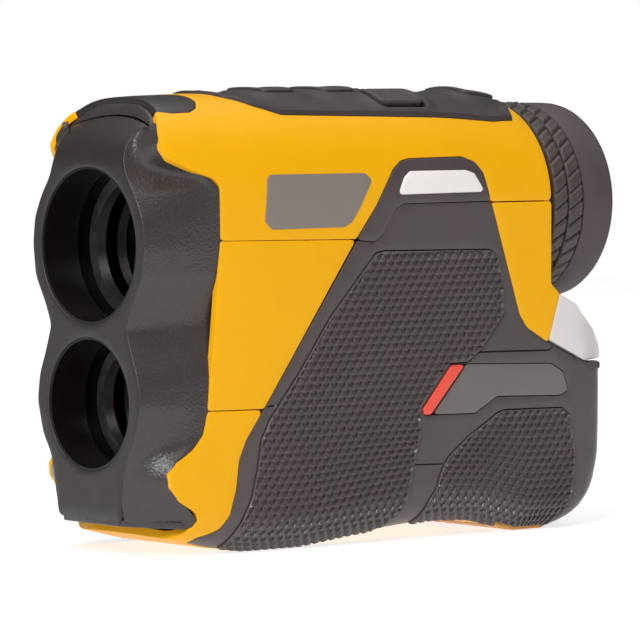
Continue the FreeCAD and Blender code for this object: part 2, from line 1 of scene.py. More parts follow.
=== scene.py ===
import math

import bmesh
import bpy
import numpy as np
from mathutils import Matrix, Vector
from mathutils.geometry import delaunay_2d_cdt


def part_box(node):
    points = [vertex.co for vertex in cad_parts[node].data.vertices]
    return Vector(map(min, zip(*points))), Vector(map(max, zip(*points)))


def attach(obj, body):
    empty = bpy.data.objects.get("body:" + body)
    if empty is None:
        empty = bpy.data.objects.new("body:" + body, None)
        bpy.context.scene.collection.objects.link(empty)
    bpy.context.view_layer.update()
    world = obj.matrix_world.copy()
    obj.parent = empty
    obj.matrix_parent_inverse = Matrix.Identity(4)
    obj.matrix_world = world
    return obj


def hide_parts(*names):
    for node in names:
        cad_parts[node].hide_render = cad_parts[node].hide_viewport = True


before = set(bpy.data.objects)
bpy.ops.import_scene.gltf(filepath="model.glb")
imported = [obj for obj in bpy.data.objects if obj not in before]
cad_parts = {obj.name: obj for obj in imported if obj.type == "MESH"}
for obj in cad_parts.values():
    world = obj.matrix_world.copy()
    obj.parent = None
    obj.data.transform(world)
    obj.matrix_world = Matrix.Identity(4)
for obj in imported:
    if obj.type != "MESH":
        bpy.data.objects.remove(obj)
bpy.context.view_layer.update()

# Laser rangefinder. Lengths are millimetres along the frame's axes until add_piece() writes a mesh in metres.
# The objectives face -Y, the eyepiece looks out at +Y, Z is up and X = 0 is the mirror plane.

MM = 0.001


def limits(name):
    """Lowest and highest corner of a CAD node, in millimetres."""
    low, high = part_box(name)
    return np.array(low) / MM, np.array(high) / MM


# ---------------------------------------------------------------- driving sizes, from the frame

HALF = limits("middle_housing")[1][0]
FRONT = limits("front_bezel")[0][1]
EYE_Z = float(np.mean([corner[2] for corner in limits("diopter_ring")]))
UPPER_Z = float(np.mean([corner[2] for corner in limits("objective_barrel")]))
LOWER_Z = float(np.mean([corner[2] for corner in limits("receiver_barrel")]))
UPPER_WELL = 14.0
LOWER_WELL = 11.85
REAR_WALL = 39.7
BOTTOM_ROUND = 7.0
ROLL = 27.5
WRAP_RADIUS = 4.5
REAR_END = 54.6
WRAP_START = REAR_END - WRAP_RADIUS
QUARTER = math.pi / 2
BELLY = BOTTOM_ROUND * (1 - QUARTER)
LANE_TOP = EYE_Z + ROLL
LANE_BASE = BELLY - (HALF - BOTTOM_ROUND)
LIFT_TOP = 24.0
CHIN_START = 30.0
REAR_SEAM = 57.95
RING_CLEARANCE = 19.85


def eased(points, reach):
    """A smooth line through (place, value) points, as a function of the place."""
    places, values = zip(*points)
    step = 0.25
    fine = np.arange(-70.0, 100.0, step)
    half = max(1, int(reach / step))
    weights = np.hanning(2 * half + 3)[1:-1]
    padded = np.pad(np.interp(fine, places, values), len(weights) // 2, "edge")
    smooth = np.convolve(padded, weights / weights.sum(), "valid")
    return lambda place: np.interp(place, fine, smooth)


def ramp(value, low, high):
    t = np.clip((value - low) / (high - low), 0.0, 1.0)
    return t * t * (3 - 2 * t)


top_line = eased([(-57.2, 83.0), (-46.0, 84.0), (-30.0, 84.4), (20.0, 84.7), (31.0, 84.4), (36.5, 83.6),
                  (39.7, 82.3)], 4)
base_line = eased([(-57.2, 5.6), (-51.4, 3.6), (-41.0, 1.0), (-33.0, 0.0), (-20.0, 0.0), (-7.0, 1.4),
                   (12.8, 3.0), (22.0, 2.6), (33.0, 0.0), (60.0, 0.0)], 3)
half_line = eased([(-57.2, 18.5), (-50.0, 18.6), (-30.0, HALF), (60.0, HALF)], 6)
squareness = eased([(-57.2, 2.9), (-40.0, 2.7), (-20.0, 2.6), (15.0, 2.5), (39.7, 2.02)], 6)
chin_line = eased([(-10.0, 10.5), (0.0, 9.6), (3.0, 5.2), (8.4, 1.6), (14.0, 0.2), (20.0, 0.0),
                   (90.0, 0.0)], 2)


# ---------------------------------------------------------------- the casing's surface

def make_roll_table(stations, steps):
    """Rounded shoulders as points at even spacing from the flank to the crown, for each station."""
    angle = np.linspace(0.0, QUARTER, 721)
    rows = []
    for station in stations:
        power = 2.0 / squareness(station)
        x = half_line(station) * np.cos(angle) ** power
        z = EYE_Z + (top_line(station) - EYE_Z) * np.sin(angle) ** power
        x[-1] = 0.0
        run = np.concatenate([[0.0], np.cumsum(np.hypot(np.diff(x), np.diff(z)))])
        even = np.linspace(0.0, run[-1], steps + 1)
        rows.append(np.stack([np.interp(even, run, x), np.interp(even, run, z)], axis=1))
    return np.array(rows)


ROLL_STATIONS = np.arange(-60.0, 61.0, 1.0)
ROLL_TABLE = make_roll_table(ROLL_STATIONS, 80)


def roll_point(station, share):
    """X and Z on the shoulder at a station and a share of the way from flank to crown."""
    row = np.clip(station - ROLL_STATIONS[0], 0, len(ROLL_STATIONS) - 1.001)
    column = np.clip(share, 0, 1) * (ROLL_TABLE.shape[1] - 1.001)
    i, j = row.astype(int), column.astype(int)
    a, b = (row - i)[:, None], (column - j)[:, None]
    near = ROLL_TABLE[i, j] * (1 - b) + ROLL_TABLE[i, j + 1] * b
    far = ROLL_TABLE[i + 1, j] * (1 - b) + ROLL_TABLE[i + 1, j + 1] * b
    return (near * (1 - a) + far * a).T


def casing(station, lane):
    """A point of the casing: station runs back along the flank and round the rear corner, lane runs from
    the middle of the base (LANE_BASE) up the +X flank to the crown (LANE_TOP), and on down the -X flank."""
    side = np.where((lane > LANE_TOP) | (lane < LANE_BASE), -1.0, 1.0)
    lane = np.where(lane > LANE_TOP, 2 * LANE_TOP - lane, lane)
    lane = np.where(lane < LANE_BASE, 2 * LANE_BASE - lane, lane)
    along = np.minimum(station, WRAP_START)
    turn = np.clip((BOTTOM_ROUND - lane) / BOTTOM_ROUND, 0.0, QUARTER)
    reach = half_line(along)
    inward = np.maximum(BELLY - lane, 0.0) * (reach - BOTTOM_ROUND) / (HALF - BOTTOM_ROUND)
    low_x = reach - BOTTOM_ROUND * (1 - np.cos(turn)) - inward
    low_z = np.where(lane < BOTTOM_ROUND, BOTTOM_ROUND * (1 - np.sin(turn)), lane)
    low_z = low_z + base_line(along) * (1 - ramp(lane, BOTTOM_ROUND, LIFT_TOP))
    high_x, high_z = roll_point(along, (lane - EYE_Z) / ROLL)
    x = np.where(lane > EYE_Z, high_x, low_x)
    z = np.where(lane > EYE_Z, high_z, low_z)
    bend = np.clip((station - WRAP_START) / WRAP_RADIUS, 0.0, QUARTER)
    past = np.maximum(station - WRAP_START - WRAP_RADIUS * QUARTER, 0.0)
    x = x - WRAP_RADIUS * (1 - np.cos(bend)) - past
    y = along + WRAP_RADIUS * np.sin(bend) - chin_line(z) * ramp(along, CHIN_START, WRAP_START)
    return np.stack([x * side, y, z], axis=1)


LANES = np.linspace(BELLY, LANE_TOP, 1600)


def on_flank(points):
    """Casing (station, lane) pairs for (Y, Z) points of a side outline."""
    found = []
    for y, z in points:
        station = y
        for _ in range(8):
            station = y + chin_line(z) * ramp(min(station, WRAP_START), CHIN_START, WRAP_START)
        heights = casing(np.full(len(LANES), station), LANES)[:, 2]
        found.append((station, float(np.interp(z, heights, LANES))))
    return found


def on_crown(points):
    """Casing (station, lane) pairs for (X, Y) points of a plan outline."""
    found = []
    for x, y in points:
        lanes = LANES[LANES >= EYE_Z]
        widths = casing(np.full(len(lanes), y), lanes)[:, 0]
        lane = float(np.interp(-abs(x), -widths, lanes))
        found.append((y, lane if x >= 0 else 2 * LANE_TOP - lane))
    return found


def both_sides(half, mirror):
    """Close a half outline with its reflection in a lane; end points on that lane aren't repeated."""
    twin = [(s, 2 * mirror - lane) for s, lane in reversed(half) if abs(lane - mirror) > 1e-6]
    return half + twin


# ---------------------------------------------------------------- outlines

def soften(points, radius, step):
    """Round the corners of a closed outline and space its points evenly."""
    points = [np.array(point, float) for point in points]
    count = len(points)
    line = []
    for i, corner in enumerate(points):
        to_last, to_next = points[i - 1] - corner, points[(i + 1) % count] - corner
        last, after = np.linalg.norm(to_last), np.linalg.norm(to_next)
        cos = np.clip(to_last @ to_next / (last * after), -1, 1)
        half = math.acos(cos) / 2
        reach = min(radius / max(math.tan(half), 1e-3), 0.48 * last, 0.48 * after)
        start, end = corner + to_last / last * reach, corner + to_next / after * reach
        for t in np.linspace(0, 1, 7):
            line.append((1 - t) ** 2 * start + 2 * t * (1 - t) * corner + t ** 2 * end)
    line = np.array(line + [line[0]])
    run = np.concatenate([[0.0], np.cumsum(np.linalg.norm(np.diff(line, axis=0), axis=1))])
    even = np.linspace(0.0, run[-1], max(12, int(run[-1] / step)) + 1)[:-1]
    return np.stack([np.interp(even, run, line[:, k]) for k in (0, 1)], axis=1)


def circle(x, y, radius, count=96):
    angle = np.linspace(0, 2 * math.pi, count, endpoint=False)
    return np.stack([x + radius * np.cos(angle), y + radius * np.sin(angle)], axis=1)


def across_loop(loop):
    """Unit vectors square to a closed loop at each of its points, all on the same side of it."""
    tangent = np.roll(loop, -1, axis=0) - np.roll(loop, 1, axis=0)
    normal = np.stack([tangent[:, 1], -tangent[:, 0]], axis=1)
    return normal / np.linalg.norm(normal, axis=1)[:, None]


def grown(loop, amount):
    """A loop moved outwards by a small amount."""
    area = (loop[:, 0] * np.roll(loop[:, 1], -1) - np.roll(loop[:, 0], -1) * loop[:, 1]).sum()
    return loop + across_loop(loop) * amount * (1 if area > 0 else -1)


def inside(points, loop):
    """True for each point within a closed loop."""
    hits = np.zeros(len(points), bool)
    for (ax, ay), (bx, by) in zip(loop, np.roll(loop, -1, axis=0)):
        if ay == by:
            continue
        crosses = (points[:, 1] < ay) != (points[:, 1] < by)
        hits ^= crosses & (points[:, 0] < ax + (points[:, 1] - ay) / (by - ay) * (bx - ax))
    return hits


def on_plate(points, loops):
    """True for each point inside the first loop and outside the others, which are holes."""
    keep = inside(points, loops[0])
    for hole in loops[1:]:
        keep &= ~inside(points, hole)
    return keep


def edge_distance(points, loops):
    """Distance from each point to the nearest edge of the loops, worked out in batches."""
    batch = 2000
    nearest = np.full(len(points), np.inf)
    for loop in loops:
        run = np.roll(loop, -1, axis=0) - loop
        length = (run ** 2).sum(1)
        for first in range(0, len(points), batch):
            some = points[first:first + batch, None, :] - loop[None]
            share = np.clip((some * run[None]).sum(2) / length[None], 0, 1)
            gap = np.sqrt(((some - share[..., None] * run[None]) ** 2).sum(2)).min(1)
            nearest[first:first + batch] = np.minimum(nearest[first:first + batch], gap)
    return nearest


def inset_rings(loops, edge):
    """Points on lines just inside the loops, where the rounded edge needs them."""
    rings = []
    for loop in loops:
        normal = across_loop(loop)
        for angle in (0.6, 1.05, QUARTER):
            gap = edge * (1 - math.cos(angle))
            for way in (-1, 1):
                ring = loop + way * gap * normal
                ring = ring[on_plate(ring, loops)]
                if len(ring):
                    rings.append(ring[edge_distance(ring, loops) > 0.93 * gap])
    return np.vstack(rings) if rings else np.zeros((0, 2))


def lattice(loops, pitch, clear):
    """Staggered points inside the loops, at least clear from any edge."""
    low, high = loops[0].min(0), loops[0].max(0)
    rows = np.arange(low[1], high[1], pitch * 0.87)
    points = []
    for i, row in enumerate(rows):
        places = np.arange(low[0] + (i % 2) * pitch / 2, high[0], pitch)
        points.append(np.stack([places, np.full(len(places), row)], axis=1))
    return within(np.vstack(points), loops, clear)


def within(points, loops, clear):
    """Those of the points that lie on the plate, at least clear from any edge."""
    points = points[on_plate(points, loops)]
    return points[edge_distance(points, loops) > clear] if len(points) else points


def triangles(loops, extra):
    """Delaunay triangles over the loops' points followed by the extra points."""
    flat = np.vstack([*loops, extra])
    edges, first = [], 0
    for loop in loops:
        count = len(loop)
        edges += [(first + i, first + (i + 1) % count) for i in range(count)]
        first += count
    result = delaunay_2d_cdt([Vector(point) for point in flat.tolist()], edges, [], 1, 1e-5, True)
    source = [ids[0] if ids else -1 for ids in result[3]]
    faces = np.array([[source[i] for i in face] for face in result[2] if len(face) == 3])
    if (faces < 0).any():
        new = [tuple(round(c, 2) for c in result[0][i]) for i in range(len(result[0])) if source[i] < 0]
        raise ValueError(f"an outline crosses itself near {new[:4]}")
    return flat, faces[on_plate(flat[faces].mean(1), loops)]


# ---------------------------------------------------------------- solids

# Half the width of a groove, its depth, and the spacing of the points on the hidden side of a plate.
GROOVE = 0.2
GROOVE_DEPTH = 0.45
BASE_PITCH = 4.0
BASE_CLEAR = 1.5


def normals(surface, flat, step=0.04):
    """Outward unit vectors of a surface at some places on it."""
    east = np.array([step, 0.0])
    north = np.array([0.0, step])
    along = surface(*(flat + east).T) - surface(*(flat - east).T)
    across = surface(*(flat + north).T) - surface(*(flat - north).T)
    cross = np.cross(along, across)
    return cross / (np.linalg.norm(cross, axis=1)[:, None] + 1e-12)


def groove_points(grooves, step=0.5):
    """Points along some lines and along both edges of a groove that follows them."""
    points = []
    for line in grooves:
        for start, end in zip(line, line[1:]):
            run = np.subtract(end, start)
            side = np.array([-run[1], run[0]]) / np.hypot(*run)
            for share in np.linspace(0.02, 0.98, int(np.hypot(*run) / step) + 2):
                points += [start + run * share + side * offset for offset in (-GROOVE, 0.0, GROOVE)]
    return np.array(points)


def patch(surface, outline, proud=0.0, depth=1.5, edge=0.2, pitch=1.2, holes=(), relief=None, extra=None,
          grooves=()):
    """A closed plate on a surface, with a rounded upper edge, holes, grooves and a raised relief."""
    loops = [np.asarray(outline), *holes]
    ring = inset_rings(loops, edge)
    inner = lattice(loops, pitch, edge + 0.35 * pitch) if extra is None else within(extra, loops, edge + 0.1)
    lines = [np.array([*line, *line[-2:0:-1]]) for line in grooves]
    if lines:
        inner = inner[edge_distance(inner, lines) > 2 * GROOVE]
        inner = np.vstack([inner, within(groove_points(grooves), loops, edge + 0.1)])
    flat, faces = triangles(loops, np.vstack([ring, inner]))
    gap = np.minimum(edge_distance(flat, loops) / edge, 1.0)
    height = proud - edge + edge * np.sqrt(np.maximum(1 - (1 - gap) ** 2, 0))
    if relief is not None:
        height = height + relief(flat, edge_distance(flat, loops))
    if lines:
        height = height - GROOVE_DEPTH * (edge_distance(flat, lines) < 0.5 * GROOVE)
    top = surface(*flat.T) + normals(surface, flat) * height[:, None]
    base_flat, base_faces = triangles(loops, lattice(loops, BASE_PITCH, BASE_CLEAR))
    base = surface(*base_flat.T) - normals(surface, base_flat) * depth
    faces = faces.tolist() + (base_faces[:, ::-1] + len(top)).tolist()
    first = 0
    for loop in loops:
        count = len(loop)
        for i in range(count):
            a, b = first + i, first + (i + 1) % count
            faces.append([a, len(top) + a, len(top) + b, b])
        first += count
    return np.vstack([top, base]), faces


def flank_plate(points, radius, step=0.6, **shape):
    """A plate on the +X flank from a (Y, Z) outline."""
    return patch(casing, soften(on_flank(points), radius, step), **shape)


def reflected(solid):
    """The solid's mirror image in X = 0."""
    points, faces = solid
    return points * np.array([-1.0, 1.0, 1.0]), [face[::-1] for face in faces]


def turned(profile, height, count, grooves=None):
    """Revolve a closed (radius, Y) profile about the line X = 0, Z = height."""
    profile = np.array(profile, float)
    angle = np.linspace(0, 2 * math.pi, count, endpoint=False)
    radius = np.repeat(profile[None, :, 0], count, 0)
    y = np.repeat(profile[None, :, 1], count, 0)
    if grooves is not None:
        radius = radius - grooves(angle[:, None], y, radius)
    points = np.stack([radius * np.sin(angle)[:, None], y, height + radius * np.cos(angle)[:, None]], axis=2)
    rows = len(profile)
    faces = []
    for i in range(count):
        for j in range(rows):
            a, b = i * rows + j, i * rows + (j + 1) % rows
            c, d = ((i + 1) % count) * rows + (j + 1) % rows, ((i + 1) % count) * rows + j
            faces.append([a, b, c, d])
    return points.reshape(-1, 3), faces


def rounded_bar(outline, half_width, edge):
    """A (Y, Z) outline carried across X from -half_width to half_width with rounded side edges."""
    loop = np.asarray(outline)
    normal = across_loop(loop)
    if (normal * (loop - loop.mean(0))).sum() < 0:
        normal = -normal
    places = [(half_width - edge + edge * math.sin(angle), edge * (1 - math.cos(angle)))
              for angle in np.linspace(0, QUARTER, 6)]
    stations = [(-x, gap) for x, gap in reversed(places)]
    stations += [(x, 0.0) for x in np.linspace(-half_width + edge, half_width - edge, 15)[1:-1]]
    stations += places
    count = len(loop)
    rings = [np.column_stack([np.full(count, x), loop - normal * gap]) for x, gap in stations]
    faces = []
    for i in range(len(rings) - 1):
        for j in range(count):
            a, b = i * count + j, i * count + (j + 1) % count
            faces.append([a, b, b + count, a + count])
    last = (len(rings) - 1) * count
    flat, cap = triangles([loop - normal * edge], np.zeros((0, 2)))
    faces += cap.tolist()
    faces += (cap[:, ::-1] + last).tolist()
    return np.vstack(rings), faces


def merged(*solids):
    """Several solids as one list of points and faces."""
    points, faces, first = [], [], 0
    for some, polygons in solids:
        points.append(some)
        faces += [[i + first for i in polygon] for polygon in polygons]
        first += len(some)
    return np.vstack(points), faces


def placed(name, data):
    """A new object in the scene."""
    thing = bpy.data.objects.new(name, data)
    bpy.context.scene.collection.objects.link(thing)
    return thing


def add_piece(name, solid, finish, node, body="housing", sharp=38.0):
    """Write a solid as a Blender mesh that rides on a body and stands for a CAD node."""
    points, faces = solid
    mesh = bpy.data.meshes.new(name)
    mesh.from_pydata((points * MM).tolist(), [], faces)
    form = bmesh.new()
    form.from_mesh(mesh)
    bmesh.ops.recalc_face_normals(form, faces=form.faces)
    form.to_mesh(mesh)
    form.free()
    mesh.polygons.foreach_set("use_smooth", [True] * len(mesh.polygons))
    mesh.set_sharp_from_angle(angle=math.radians(sharp))
    mesh.materials.append(paints[finish].material)
    thing = placed(name, mesh)
    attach(thing, body)
    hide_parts(node)


def side_pieces(name, solid, finish, sharp=38.0):
    """One piece on each flank, each standing for its own CAD node."""
    for side, shape in (("left", solid), ("right", reflected(solid))):
        add_piece(f"{name}_skin_{side}", shape, finish, f"{side}_{name}", sharp=sharp)


# ---------------------------------------------------------------- materials

def tone(red, green, blue):
    """Linear colour from 0-255 display values."""
    return tuple(((c / 255 + 0.055) / 1.055) ** 2.4 if c > 10 else c / 255 / 12.92
                 for c in (red, green, blue))


def settle(node, **values):
    """Set a node's inputs by name, with _ for each space."""
    for name, value in values.items():
        node.inputs[name.replace("_", " ")].default_value = value


class Paint:
    """A node material that is built up step by step around one Principled shader."""

    def __init__(self, name, colour, roughness, metallic=0.0, specular=0.5):
        self.material = bpy.data.materials.new(name)
        self.material.use_nodes = True
        self.nodes = self.material.node_tree.nodes
        self.shader = self.nodes["Principled BSDF"]
        settle(self.shader, Base_Color=(*colour, 1), Roughness=roughness, Metallic=metallic,
               Specular_IOR_Level=specular)
        self.colour, self.roughness = colour, roughness
        self.place = self.nodes.new("ShaderNodeTexCoord").outputs["Object"]
        self.last_bump = None

    def link(self, source, target):
        self.material.node_tree.links.new(source, target)

    def noise(self, scale, detail=4.0, rough=0.6, stretch=None):
        node = self.nodes.new("ShaderNodeTexNoise")
        settle(node, Scale=scale, Detail=detail, Roughness=rough)
        place = self.place
        if stretch:
            mapping = self.nodes.new("ShaderNodeMapping")
            settle(mapping, Scale=stretch)
            self.link(self.place, mapping.inputs["Vector"])
            place = mapping.outputs["Vector"]
        self.link(place, node.inputs["Vector"])
        return node.outputs["Fac"]

    def cells(self, scale):
        node = self.nodes.new("ShaderNodeTexVoronoi")
        node.feature = "SMOOTH_F1"
        settle(node, Scale=scale)
        self.link(self.place, node.inputs["Vector"])
        return node.outputs["Distance"]

    def remap(self, value, low, high):
        """Stretch the middle of a noise over a range."""
        node = self.nodes.new("ShaderNodeMapRange")
        settle(node, From_Min=0.35, From_Max=0.65, To_Min=low, To_Max=high)
        self.link(value, node.inputs["Value"])
        return node.outputs["Result"]

    def vary_colour(self, value, other, amount):
        node = self.nodes.new("ShaderNodeMix")
        node.data_type = "RGBA"
        first, second = [socket for socket in node.inputs if socket.type == "RGBA"]
        result = [socket for socket in node.outputs if socket.type == "RGBA"][0]
        target = self.shader.inputs["Base Color"]
        if target.is_linked:
            self.link(target.links[0].from_socket, first)
        else:
            first.default_value = (*self.colour, 1)
        second.default_value = (*other, 1)
        self.link(self.remap(value, 0.0, amount), node.inputs["Factor"])
        self.link(result, target)

    def vary_roughness(self, value, spread):
        result = self.remap(value, self.roughness - spread, self.roughness + spread)
        self.link(result, self.shader.inputs["Roughness"])

    def bump(self, value, distance, strength=1.0):
        node = self.nodes.new("ShaderNodeBump")
        settle(node, Distance=distance * MM, Strength=strength)
        self.link(value, node.inputs["Height"])
        if self.last_bump:
            self.link(self.last_bump, node.inputs["Normal"])
        self.last_bump = node.outputs["Normal"]
        self.link(self.last_bump, self.shader.inputs["Normal"])


def moulded(name, colour, roughness, grain, depth, shade=0.86, specular=0.5):
    """Moulded plastic or rubber: fine grain, faint cloudy colour and uneven gloss."""
    paint = Paint(name, colour, roughness, specular=specular)
    dark = tuple(c * shade for c in colour)
    paint.vary_colour(paint.noise(90, 3), dark, 0.5)
    paint.vary_roughness(paint.noise(260, 4), 0.05)
    paint.bump(paint.noise(grain, 6, 0.65), depth)
    return paint


def leathered(name, colour, roughness):
    """The bezel's leather-like grain: small cells with a finer grain on them."""
    paint = moulded(name, colour, roughness, 6000, 0.01)
    paint.vary_colour(paint.noise(1800, 2), tuple(c * 1.25 for c in colour), 0.6)
    paint.bump(paint.cells(2200), 0.09, 0.9)
    return paint


def metal(name, colour, roughness, stretch):
    paint = Paint(name, colour, roughness, metallic=1.0)
    paint.vary_colour(paint.noise(150, 3), tuple(c * 0.8 for c in colour), 0.5)
    paint.vary_roughness(paint.noise(900, 4, stretch=stretch), 0.08)
    paint.bump(paint.noise(3500, 4, stretch=stretch), 0.004)
    return paint


def glass(name, colour, roughness=0.02, clear=1.0):
    paint = Paint(name, colour, roughness)
    settle(paint.shader, Transmission_Weight=clear, IOR=1.52)
    paint.bump(paint.noise(60, 2), 0.002)
    paint.vary_roughness(paint.noise(400, 3), 0.015)
    return paint


paints = {
    "yellow": moulded("yellow_moulding", tone(247, 178, 6), 0.42, 5200, 0.006, 0.95, 0.22),
    "face": moulded("bezel_face_plastic", tone(50, 43, 43), 0.42, 5000, 0.010, 0.85),
    "leather": leathered("bezel_leather_plastic", tone(62, 56, 56), 0.34),
    "satin": moulded("satin_black_plastic", tone(82, 73, 73), 0.36, 2600, 0.03, 0.8),
    # The wells' black plastic is made darker than the face moulding: the extra darkness is painted shade of
    # the deep recesses.
    "well": moulded("well_black_plastic_painted_shade", tone(20, 13, 13), 0.34, 3600, 0.01, 0.85, 0.4),
    "shell": moulded("black_shell_plastic", tone(60, 51, 51), 0.5, 3600, 0.014, 0.85),
    "mat": moulded("keypad_rubber", tone(64, 57, 57), 0.55, 3200, 0.016, 0.85, 0.35),
    "key": moulded("key_rubber", tone(74, 67, 67), 0.5, 3200, 0.014, 0.85, 0.35),
    "pad": moulded("grip_rubber", tone(88, 79, 79), 0.3, 3000, 0.018, 0.8, 0.6),
    "ring": moulded("ring_rubber", tone(78, 70, 68), 0.45, 3400, 0.016, 0.82, 0.35),
    "cup": moulded("eyecup_rubber", tone(84, 74, 75), 0.6, 2600, 0.02, 0.85, 0.3),
    "plate": moulded("grey_plate_plastic", tone(112, 105, 105), 0.46, 4800, 0.008, 0.92),
    "silver": moulded("silver_plastic", tone(224, 218, 217), 0.42, 4200, 0.008, 0.95),
    "badge": moulded("badge_plastic", tone(246, 240, 237), 0.36, 5000, 0.005, 0.96),
    "orange": moulded("foot_strip_rubber", tone(226, 158, 66), 0.5, 3000, 0.014, 0.88),
    "red": moulded("accent_plastic", tone(242, 84, 66), 0.38, 4800, 0.005, 0.96),
    "label": moulded("side_label_plastic", tone(134, 123, 116), 0.48, 5200, 0.008, 0.94),
}


# ---------------------------------------------------------------- casing pieces

BEZEL_EDGE = [
    (-51.0, 81.2), (-52.6, 78.0), (-53.2, 74.7), (-52.0, 72.5), (-47.8, 70.7), (-42.6, 69.0), (-41.1, 67.6),
    (-41.1, 57.6), (-42.5, 41.5), (-44.0, 26.6), (-44.8, 22.4), (-47.0, 19.7), (-50.7, 17.5), (-52.6, 15.4),
    (-52.5, 13.1), (-50.3, 10.3), (-46.8, 8.2), (-45.9, 6.6), (-46.8, 5.0),
]
# The first points of the edge bound the upper housing, and those from LOWER_TAB on bound the lower one.
TAB_END = 8
LOWER_TAB = 10
TONGUE = [(12.6, -51.2), (12.9, -47.5), (12.9, -43.5), (11.8, -41.2), (9.4, -39.4), (5.0, -38.6),
          (0.0, -38.4)]
KEYPAD = [(0.0, -34.2), (8.0, -32.1), (12.0, -27.8), (14.0, -23.0), (14.2, 29.5), (13.0, 35.6), (8.4, 38.1),
          (0.0, 38.4)]
FRAME_FRONT = [(-9.2, 57.1), (-31.4, 26.3), (-35.3, 21.0), (-36.9, 17.4), (-37.6, 11.9), (-39.0, 7.4),
               (-40.9, 4.8), (-44.5, 3.3)]
FRAME_TOP = [(-9.2, 57.1), (-2.4, 66.3), (0.1, 70.0), (2.3, 71.6), (4.3, 72.0), (17.8, 72.2), (20.8, 71.2),
             (22.6, 69.3), (24.4, 63.5)]
FRAME_REAR = [(24.4, 63.5), (31.6, 41.7), (33.5, 39.2), (38.7, 36.3)]
FRAME_SEAMS = [[(18.9, 33.4), (20.4, 35.0), (39.2, 34.7), (40.3, 35.4)], [(-31.3, 26.9), (-26.9, 27.0)],
               [(5.2, 14.3), (11.9, 14.1)]]
# Gap left at a seam, and the radii of the skins' and the black frame's edges.
SEAM = 0.12
SKIN_EDGE = 0.12
FRAME_EDGE = 0.14
UPPER_SEAM = EYE_Z + 0.5
# Lanes under the belly where the grip pads and the black frame end.
PAD_FLOOR = -2.1
SKIRT = -2.5


def shifted(points, dy, dz):
    return [(y + dy, z + dz) for y, z in points]


def carve_for_rings(points, where):
    """Lower those points that would come within reach of the eyepiece's rings."""
    near = where & (np.hypot(points[:, 0], points[:, 2] - EYE_Z) < RING_CLEARANCE)
    points[near, 2] = EYE_Z - np.sqrt(RING_CLEARANCE ** 2 - points[near, 0] ** 2)


def make_upper_housing():
    half = on_crown(TONGUE[:0:-1]) + on_flank(BEZEL_EDGE[:TAB_END])
    half += on_flank(shifted(FRAME_TOP, -0.1, SEAM))
    half += [(REAR_WALL, UPPER_SEAM + 0.05), (REAR_WALL, LANE_TOP)]
    outline = soften(both_sides(half, LANE_TOP), 0.8, 0.7)
    hole = soften(both_sides(on_crown(KEYPAD), LANE_TOP), 1.2, 0.7)
    shell = patch(casing, outline, edge=FRAME_EDGE, pitch=1.5, holes=[hole])
    wall = patch(rear_plane, rear_section(46.2, 90.0), depth=1.5, edge=0.3, holes=[circle(0, EYE_Z, 13.6)])
    add_piece("upper_housing_skin", merged(shell, wall), "yellow", "upper_housing")


def rear_plane(x, z):
    return np.stack([-x, np.full(len(x), REAR_WALL - 0.05), z], axis=1)


def rear_section(low, high):
    """Outline of the casing's section at the rear wall between two heights, a little inside its skin."""
    lanes = np.linspace(30.0, LANE_TOP, 160)
    side = casing(np.full(len(lanes), REAR_WALL), lanes)[:, [0, 2]]
    side = side[(side[:, 1] > low) & (side[:, 1] < high) & (side[:, 0] > 0.5)]
    side = side * 0.985 + np.array([0.0, 0.015 * EYE_Z])
    return soften(np.vstack([side, side[::-1] * np.array([-1, 1])]).tolist(), 0.2, 0.8)


def make_middle_housing():
    front = [(-41.1, 57.52), (-42.5, 41.5), (-44.0, 26.65), (-31.4, 26.5), (-9.4, 57.08)]
    rear = [(24.5, 63.4)] + shifted(FRAME_REAR[1:], SEAM, 0.0)
    rear += [(39.1, 36.6), (42.0, 45.5), (39.75, 47.5), (39.75, 63.4)]
    solids = []
    for outline in (front, rear):
        solid = flank_plate(outline, 0.5, edge=SKIN_EDGE, pitch=1.6)
        solids += [solid, reflected(solid)]
    shoulder, walls = rounded_bar(soften([(38.0, 46.0), (39.75, 47.4), (42.0, 45.5), (41.6, 44.0),
                                          (39.4, 37.6), (38.0, 37.6)], 0.4, 0.3), HALF - 0.1, 0.3)
    carve_for_rings(shoulder, shoulder[:, 1] > REAR_WALL)
    add_piece("middle_housing_skin", merged(*solids, (shoulder, walls)), "yellow",
              "middle_housing")


def make_lower_housing():
    half = [(-51.3, LANE_BASE), (-51.2, BELLY - 6.0), (-50.4, BELLY - 2.0), (-48.6, -1.2)]
    half += on_flank(BEZEL_EDGE[:LOWER_TAB - 1:-1] + [(-44.0, 26.5)])
    half += on_flank(shifted(FRAME_FRONT[1:], -SEAM, 0.0)) + [(-45.1, SKIRT - 0.1)]
    half += [(27.4, SKIRT - 0.1), (27.4, LANE_BASE)]
    outline = soften(both_sides(half, LANE_BASE), 0.7, 0.7)
    tripod_hole = circle(-26.0, LANE_BASE, 5.05, 64)
    screw_holes = [circle(y, LANE_BASE + x, 2.1, 40) for y in (-19.0, 22.0) for x in (11.2, -11.2)]
    shell = patch(casing, outline, edge=SKIN_EDGE, pitch=1.8, holes=[tripod_hole, *screw_holes])
    add_piece("lower_housing_skin", shell, "yellow", "lower_housing")


